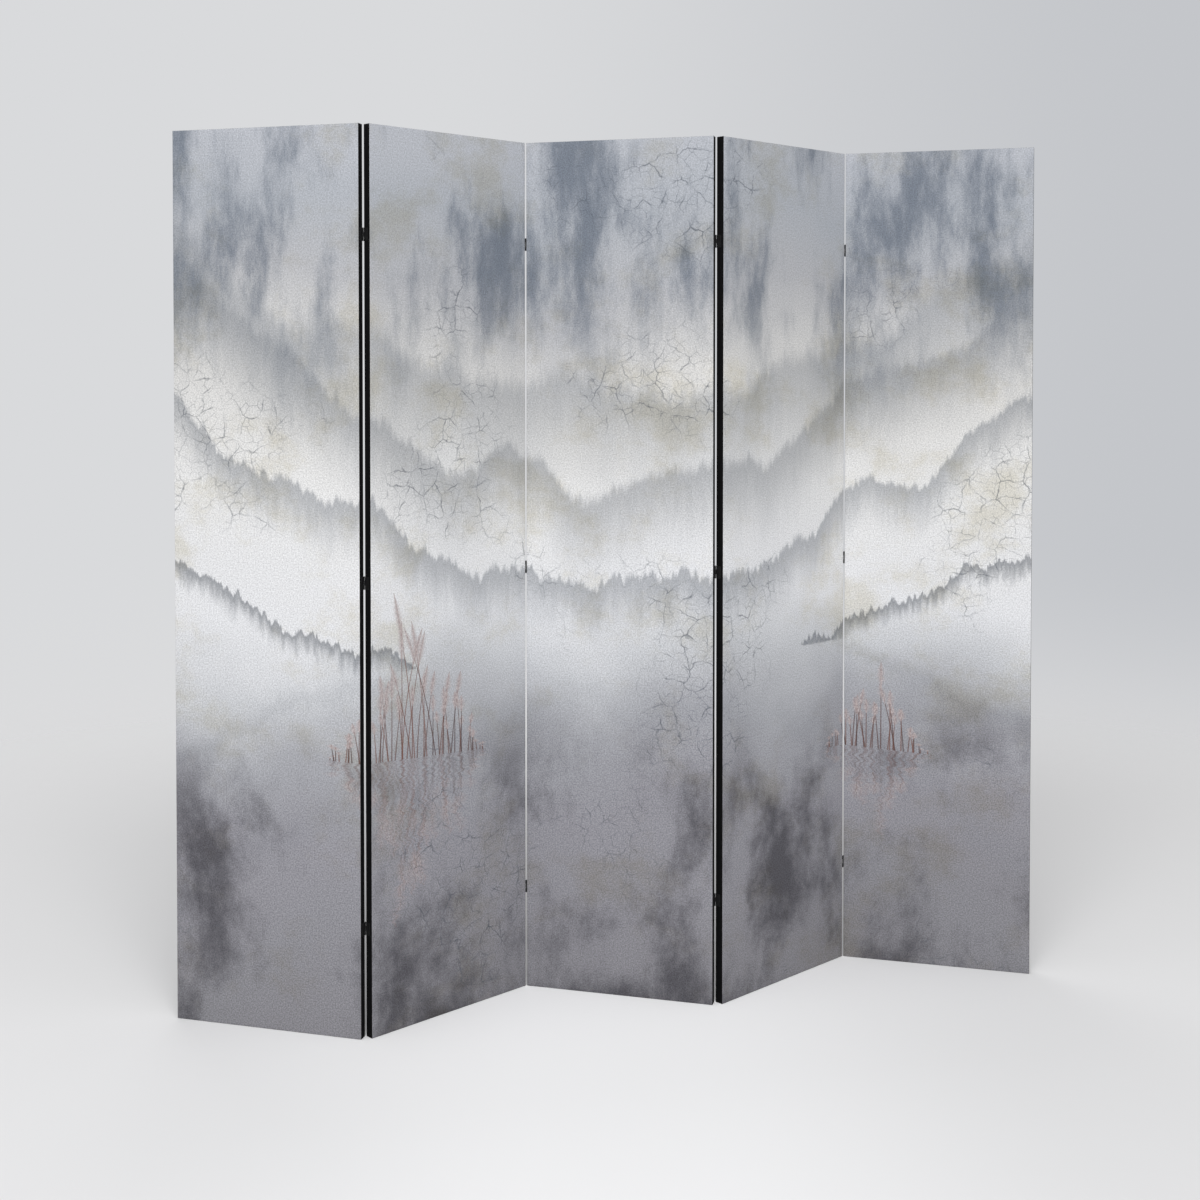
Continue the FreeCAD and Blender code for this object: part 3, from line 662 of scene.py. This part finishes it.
# each pair gives where a form starts and where it is full, from the panel's edge or its middle rail
backCloth = {
    "inset": 0.004,
    "thickness": 0.0004,
    "outerFace": 0.0087,
    "nearEnds": [0.0, 0.0025, 0.005, 0.0075, 0.010, 0.0125, 0.016, 0.0185, 0.0205, 0.0225, 0.0255, 0.030,
                 0.036],
    "stepAcross": 0.014,
    "stepUp": 0.0102,
    "scallop": 0.0009,          # the cut edge draws in between staples
    "scallopReach": 0.006,
    "overReturn": 0.00045,      # steps down where the canvas strip ends
    "returnEnd": (0.0225, 0.0262),
    "intoBay": 0.00095,         # sinks between the bars
    "bayEdge": (0.030, 0.055),
    "middleRail": (0.016, 0.045),
    "ripple": 0.00022,
    "rippleEdge": (0.032, 0.08),
    "dimple": 0.00014,          # under each staple, along and across its crown
    "dimpleSize": (0.006, 0.0025),
    "dimpleReach": 0.012,
}


def smooth(value, start, end):
    t = max(0.0, min(1.0, (value - start) / (end - start)))
    return t * t * (3 - 2 * t)


# the cloth that closes the back: pulled to the staples, sunk a little between the bars
def makeBackClothPiece(panel, look):
    halfWidth, height = screen["width"] / 2, screen["height"]
    inset = look["inset"]
    xs = gridLines(-halfWidth + inset, halfWidth - inset, look["nearEnds"], look["stepAcross"])
    zs = gridLines(inset, height - inset, look["nearEnds"], look["stepUp"])
    place = panelPlace(panel)
    spots = staplePlaces(staples)
    pitch = staples["stileHeights"][1] - staples["stileHeights"][0]
    railPitch = staples["railAcross"][1] - staples["railAcross"][0]
    dimpleLong, dimpleShort = look["dimpleSize"]
    reach = look["dimpleReach"]

    def bay(x, z):
        rim = min(halfWidth - abs(x), z, height - z)
        sink = look["overReturn"] * smooth(rim, *look["returnEnd"])
        rail = smooth(abs(z - height / 2), *look["middleRail"])
        sink += (look["intoBay"] - look["overReturn"]) * smooth(rim, *look["bayEdge"]) * rail
        ripple = math.sin(31 * x + 5 * math.sin(3.1 * z + panel)) * math.sin(9.0 * z + 1.7 * panel)
        sink -= look["ripple"] * ripple * smooth(rim, *look["rippleEdge"]) * rail
        for sx, sz, turn in spots:
            if abs(sz - z) < reach and abs(sx - x) < reach:
                long, short = (z - sz, x - sx) if turn else (x - sx, z - sz)
                sink += look["dimple"] * math.exp(-(long / dimpleLong) ** 2 - (short / dimpleShort) ** 2)
        return sink

    shape = bmesh.new()
    uvMap = shape.loops.layers.uv.new("clothPlace")
    rows = []
    for x in xs:
        row = []
        for z in zs:
            sideways = 0.5 - 0.5 * math.cos(2 * math.pi * (z - staples["stileHeights"][0]) / pitch)
            endways = 0.5 - 0.5 * math.cos(2 * math.pi * (x - staples["railAcross"][0]) / railPitch)
            nearSide = math.exp(-(halfWidth - inset - abs(x)) / look["scallopReach"])
            nearEnd = math.exp(-(min(z, height - z) - inset) / look["scallopReach"])
            px = x - math.copysign(look["scallop"] * sideways * nearSide, x)
            pz = z - math.copysign(look["scallop"] * endways * nearEnd, z - height / 2)
            row.append(shape.verts.new(place @ Vector((px, look["outerFace"] - bay(x, z), pz))))
        rows.append(row)
    for i in range(len(xs) - 1):
        for k in range(len(zs) - 1):
            cells = [(i, k), (i, k + 1), (i + 1, k + 1), (i + 1, k)]
            face = shape.faces.new([rows[a][b] for a, b in cells])
            for loop, (a, b) in zip(face.loops, cells):
                loop[uvMap].uv = (xs[a], zs[b])
    mesh = bpy.data.meshes.new("backCloth")
    shape.to_mesh(mesh)
    shape.free()
    mesh = thickened("backClothSheet", mesh, look["thickness"])
    name = "panel_%d_back_cloth" % panel
    piece = finishPiece("backCloth_%d" % panel, mesh, blackBackCloth, panel, name)


# bent wire on each point of a mesh, turned as the point says, a little askew
def stapleTree():
    tree = bpy.data.node_groups.new("stapleRow", "GeometryNodeTree")
    add = partial(addNode, tree)
    tree.interface.new_socket("Geometry", in_out="INPUT", socket_type="NodeSocketGeometry")
    for name in ("Crown Length", "Leg Length", "Wire Width", "Corner Radius", "Loose Turn"):
        tree.interface.new_socket(name, in_out="INPUT", socket_type="NodeSocketFloat")
    tree.interface.new_socket("Seed", in_out="INPUT", socket_type="NodeSocketInt")
    tree.interface.new_socket("Wire", in_out="INPUT", socket_type="NodeSocketMaterial")
    tree.interface.new_socket("Geometry", in_out="OUTPUT", socket_type="NodeSocketGeometry")
    given = add("NodeGroupInput").node.outputs

    # four points, foot, corner, corner, foot: the line only brings them, its own size is lost
    index = add("GeometryNodeInputIndex")
    fromMiddle = add("ShaderNodeMath", {0: index, 1: 1.5}, operation="SUBTRACT")
    side = add("ShaderNodeMath", {0: fromMiddle}, operation="SIGN")
    x = add("ShaderNodeMath", {0: side, 1: given["Crown Length"]}, operation="MULTIPLY")
    x = add("ShaderNodeMath", {0: x, 1: 0.5}, operation="MULTIPLY")
    isFoot = add("ShaderNodeMath", {0: fromMiddle}, operation="ABSOLUTE")
    isFoot = add("ShaderNodeMath", {0: isFoot, 1: 1.0}, operation="GREATER_THAN")
    y = add("ShaderNodeMath", {0: isFoot, 1: given["Leg Length"]}, operation="MULTIPLY")
    y = add("ShaderNodeMath", {0: y, 1: -1.0}, operation="MULTIPLY")
    bentTo = add("ShaderNodeCombineXYZ", {"X": x, "Y": y})
    line = add("GeometryNodeCurvePrimitiveLine", {"Start": (-0.005, 0.0, 0.0), "End": (0.005, 0.0, 0.0)})
    line = add("GeometryNodeResampleCurve", {"Curve": line, "Count": 4})
    line = add("GeometryNodeSetPosition", {"Geometry": line, "Position": bentTo})
    line = add("GeometryNodeFilletCurve", {"Curve": line, "Radius": given["Corner Radius"], "Count": 2},
               mode="POLY")
    half = add("ShaderNodeMath", {0: given["Wire Width"], 1: 0.5}, operation="MULTIPLY")
    section = add("GeometryNodeCurvePrimitiveCircle", {"Resolution": 6, "Radius": half})
    wire = add("GeometryNodeCurveToMesh", {"Curve": line, "Profile Curve": section, "Fill Caps": True})

    turn = add("GeometryNodeInputNamedAttribute", {"Name": "stapleTurn"}, data_type="FLOAT_VECTOR")
    back = add("ShaderNodeMath", {0: given["Loose Turn"], 1: -1.0}, operation="MULTIPLY")
    askew = add("FunctionNodeRandomValue", {2: back, 3: given["Loose Turn"], "Seed": given["Seed"]}, out=1,
                data_type="FLOAT")
    askew = add("ShaderNodeCombineXYZ", {"Y": askew})
    turn = add("ShaderNodeVectorMath", {0: turn, 1: askew}, operation="ADD")
    row = add("GeometryNodeInstanceOnPoints", {"Points": given["Geometry"], "Instance": wire,
                                               "Rotation": turn})
    row = add("GeometryNodeRealizeInstances", {"Geometry": row})
    row = add("GeometryNodeSetMaterial", {"Geometry": row, "Material": given["Wire"]})
    add("NodeGroupOutput", {"Geometry": row})
    return tree


stapleRow = stapleTree()


def makeStaples(panel, look):
    place = panelPlace(panel)
    lift = backCloth["outerFace"] - backCloth["dimple"] + look["wireWidth"] / 2
    spots = staplePlaces(look)
    mesh = bpy.data.meshes.new("staplePoints")
    mesh.from_pydata([place @ Vector((x, lift, z)) for x, z, turn in spots], [], [])
    turns = mesh.attributes.new("stapleTurn", "FLOAT_VECTOR", "POINT")
    for item, (x, z, turn) in zip(turns.data, spots):
        item.vector = (0.0, turn, math.radians(screen["turns"][panel - 1]))
    carrier = newObject("staplePoints", mesh)
    rows = carrier.modifiers.new("staples", "NODES")
    rows.node_group = stapleRow
    values = {"Crown Length": look["crownLength"], "Leg Length": look["legLength"],
              "Wire Width": look["wireWidth"], "Corner Radius": look["cornerRadius"],
              "Loose Turn": math.radians(look["looseTurn"]), "Seed": look["seed"] + panel,
              "Wire": galvanisedWire}
    for item in stapleRow.interface.items_tree:
        if item.in_out == "INPUT" and item.name in values:
            rows[item.identifier] = values[item.name]
    name = "panel_%d_staples" % panel
    finishPiece("staples_%d" % panel, plainMesh(carrier), galvanisedWire, panel, name)


for panel in range(1, 6):
    makeCanvas(panel, canvas)
    makeBackClothPiece(panel, backCloth)
    makeStaples(panel, staples)
print("canvases, back cloths and staples made for five panels")

# the hinges and the timber stay as built, with their finishes
for name, node in frame["nodes"].items():
    if node.hide_render:
        continue
    if name.endswith("_stile"):
        finish = pineStile
    elif name.endswith("_rail"):
        finish = pineRails[screen["turns"][int(name.split("_")[1]) - 1]]
    else:
        finish = satinBlackSteel
    node.data.materials.clear()
    node.data.materials.append(finish)
print("hinges in satin black, bars in pine")

studio = {
    "acrossView": (0.969, -0.245, 0.0),
    "floorRadius": 6.0,
    "floorDrop": 0.0004,        # under the folded corners
    "floorTone": "F0F0F1",
    # painted shade: the floor's colour darkens to either side, standing in for a pool of light in front of
    # the screen
    "floorShadedSides": "E4E4E5",
    "floorLightPool": (0.10, 0.75),  # metres to either side, where the floor is painted a little darker: a painted pool of light in the middle, painted shade to the sides
    "floorFade": (1.4, 3.8),    # metres from the screen, where the floor melts into the backdrop
    "floorPaintedLight": 0.065,         # painted light: how much paler the floor is painted right beside the screen, to lift the shade there
    "paintedLightReach": 0.46,
    "paintedLightEnds": (0.55, 1.00),
    # painted shade: the backdrop is painted lighter at the left and darker at the right
    "backdropLitLeft": "D9DADC",
    "backdropShadedRight": "C4C6CA",
    "backdropSpan": (-0.12, 0.34),
    "backdropLow": "DCDCDD",
    "backdropFall": (-0.10, -0.27),
    "fill": 0.55,
    "softboxes": [
        {"power": 170.0, "size": 4.2, "place": (-1.2, -4.1, 3.9), "aim": (0.0, 0.0, 0.7)},
        {"power": 40.0, "size": 3.0, "place": (-0.4, 3.6, 3.2), "aim": (0.0, 1.0, 0.0)},
    ],
}


# pale studio floor that melts away
def makeFloor(look):
    bpy.ops.mesh.primitive_circle_add(vertices=96, radius=look["floorRadius"], fill_type="NGON",
                                      location=(0.0, 0.0, -look["floorDrop"]))
    floor = bpy.context.object
    floor.name = "floor"
    material, add = newMaterial("paleFloor")
    place = add("ShaderNodeTexCoord", out=3)
    far = add("ShaderNodeVectorMath", {0: place}, out=1, operation="LENGTH")
    gone = add("ShaderNodeMapRange", {0: far, 1: look["floorFade"][0], 2: look["floorFade"][1]},
               interpolation_type="SMOOTHERSTEP")
    # painted shade: the floor colour goes darker to either side of the screen's middle, a painted pool of
    # light
    aside = add("ShaderNodeVectorMath", {0: place, 1: look["acrossView"]}, out=1, operation="DOT_PRODUCT")
    aside = add("ShaderNodeMath", {0: aside}, operation="ABSOLUTE")
    aside = add("ShaderNodeMapRange", {0: aside, 1: look["floorLightPool"][0], 2: look["floorLightPool"][1]},
                interpolation_type="SMOOTHSTEP")
    tone = add("ShaderNodeMix", {0: aside, 6: linear(look["floorTone"]), 7: linear(look["floorShadedSides"])},
               out=2, data_type="RGBA")
    # painted light: right beside the screen the floor's colour is painted paler, or the shade that falls
    # there would be too deep
    along = add("ShaderNodeSeparateXYZ", {0: place})
    apart = add("ShaderNodeMath", {0: along.node.outputs["Y"]}, operation="ABSOLUTE")
    along = add("ShaderNodeMath", {0: along}, operation="ABSOLUTE")
    lift = add("ShaderNodeMapRange", {0: apart, 1: 0.0, 2: look["paintedLightReach"], 3: look["floorPaintedLight"], 4: 0.0},
               interpolation_type="SMOOTHSTEP")
    paintedLightAlong = add("ShaderNodeMapRange", {0: along, 1: look["paintedLightEnds"][0], 2: look["paintedLightEnds"][1], 3: 1.0,
                                        4: 0.0}, interpolation_type="SMOOTHSTEP")
    lift = add("ShaderNodeMath", {0: lift, 1: paintedLightAlong, 2: 1.0}, operation="MULTIPLY_ADD")
    tone = add("ShaderNodeVectorMath", {0: tone, "Scale": lift}, operation="SCALE")
    pale = add("ShaderNodeBsdfDiffuse", {"Color": tone, "Roughness": 0.5})
    clear = add("ShaderNodeBsdfTransparent")
    shader = add("ShaderNodeMixShader", {0: gone, 1: pale, 2: clear})
    add("ShaderNodeOutputMaterial", {"Surface": shader})
    floor.data.materials.append(material)


# a backdrop only for the eye, painted lighter at the left and darker at the right as painted shade; even
# light for the rest
def makeBackdrop(look):
    world = bpy.data.worlds.new("studio")
    world.use_nodes = True
    world.node_tree.nodes.clear()
    add = partial(addNode, world.node_tree)
    rays = add("ShaderNodeLightPath").node.outputs
    seen = add("ShaderNodeMath", {0: rays["Is Camera Ray"], 1: rays["Is Glossy Ray"]}, operation="MAXIMUM")
    seen = add("ShaderNodeMath", {0: seen, 1: rays["Is Transmission Ray"]}, operation="MAXIMUM")
    towards = add("ShaderNodeTexCoord")
    # painted shade: the backdrop's colour darkens from left to right, standing in for light falling off
    # across it
    sideways = add("ShaderNodeVectorMath", {0: towards, 1: look["acrossView"]}, out=1,
                   operation="DOT_PRODUCT")
    sideways = add("ShaderNodeMapRange", {0: sideways, 1: look["backdropSpan"][0],
                                          2: look["backdropSpan"][1]}, interpolation_type="SMOOTHSTEP")
    tones = add("ShaderNodeMix", {0: sideways, 6: linear(look["backdropLitLeft"]),
                                  7: linear(look["backdropShadedRight"])}, out=2, data_type="RGBA")
    upward = add("ShaderNodeSeparateXYZ", {0: towards}, out=2)
    lower = add("ShaderNodeMapRange", {0: upward, 1: look["backdropFall"][0], 2: look["backdropFall"][1]},
                interpolation_type="SMOOTHSTEP")
    tones = add("ShaderNodeMix", {0: lower, 6: tones, 7: linear(look["backdropLow"])}, out=2,
                data_type="RGBA")
    backdrop = add("ShaderNodeBackground", {"Color": tones, "Strength": 1.0})
    light = add("ShaderNodeBackground", {"Color": linear("FFFFFF"), "Strength": look["fill"]})
    both = add("ShaderNodeMixShader", {0: seen, 1: light, 2: backdrop})
    add("ShaderNodeOutputWorld", {"Surface": both})
    bpy.context.scene.world = world


def makeSoftboxes(look):
    for box in look["softboxes"]:
        lamp = bpy.data.lights.new("softbox", "AREA")
        lamp.energy = box["power"]
        lamp.shape = "SQUARE"
        lamp.size = box["size"]
        softbox = newObject("softbox", lamp)
        softbox.location = box["place"]
        towardsAim = Vector(box["aim"]) - softbox.location
        softbox.rotation_euler = towardsAim.to_track_quat("-Z", "Y").to_euler()


makeFloor(studio)
makeBackdrop(studio)
makeSoftboxes(studio)
print("studio made")

# a little left of the middle, at chest height, looking almost level
eye = {
    "place": (-0.7951, -2.9911, 1.1742),
    "pitch": 1.34,
    "yaw": 14.21,
    "lens": 49.777,
    "sensorWidth": 36.0,
    "shiftY": -0.16,
}
camera = bpy.data.cameras.new("camera")
camera.lens = eye["lens"]
camera.sensor_width = eye["sensorWidth"]
camera.shift_y = eye["shiftY"]
cameraObject = newObject("camera", camera)
cameraObject.location = eye["place"]
cameraObject.rotation_euler = (math.radians(90 - eye["pitch"]), 0.0, math.radians(-eye["yaw"]))
bpy.context.scene.camera = cameraObject
bpy.context.scene.view_settings.view_transform = "Standard"
print("camera set")
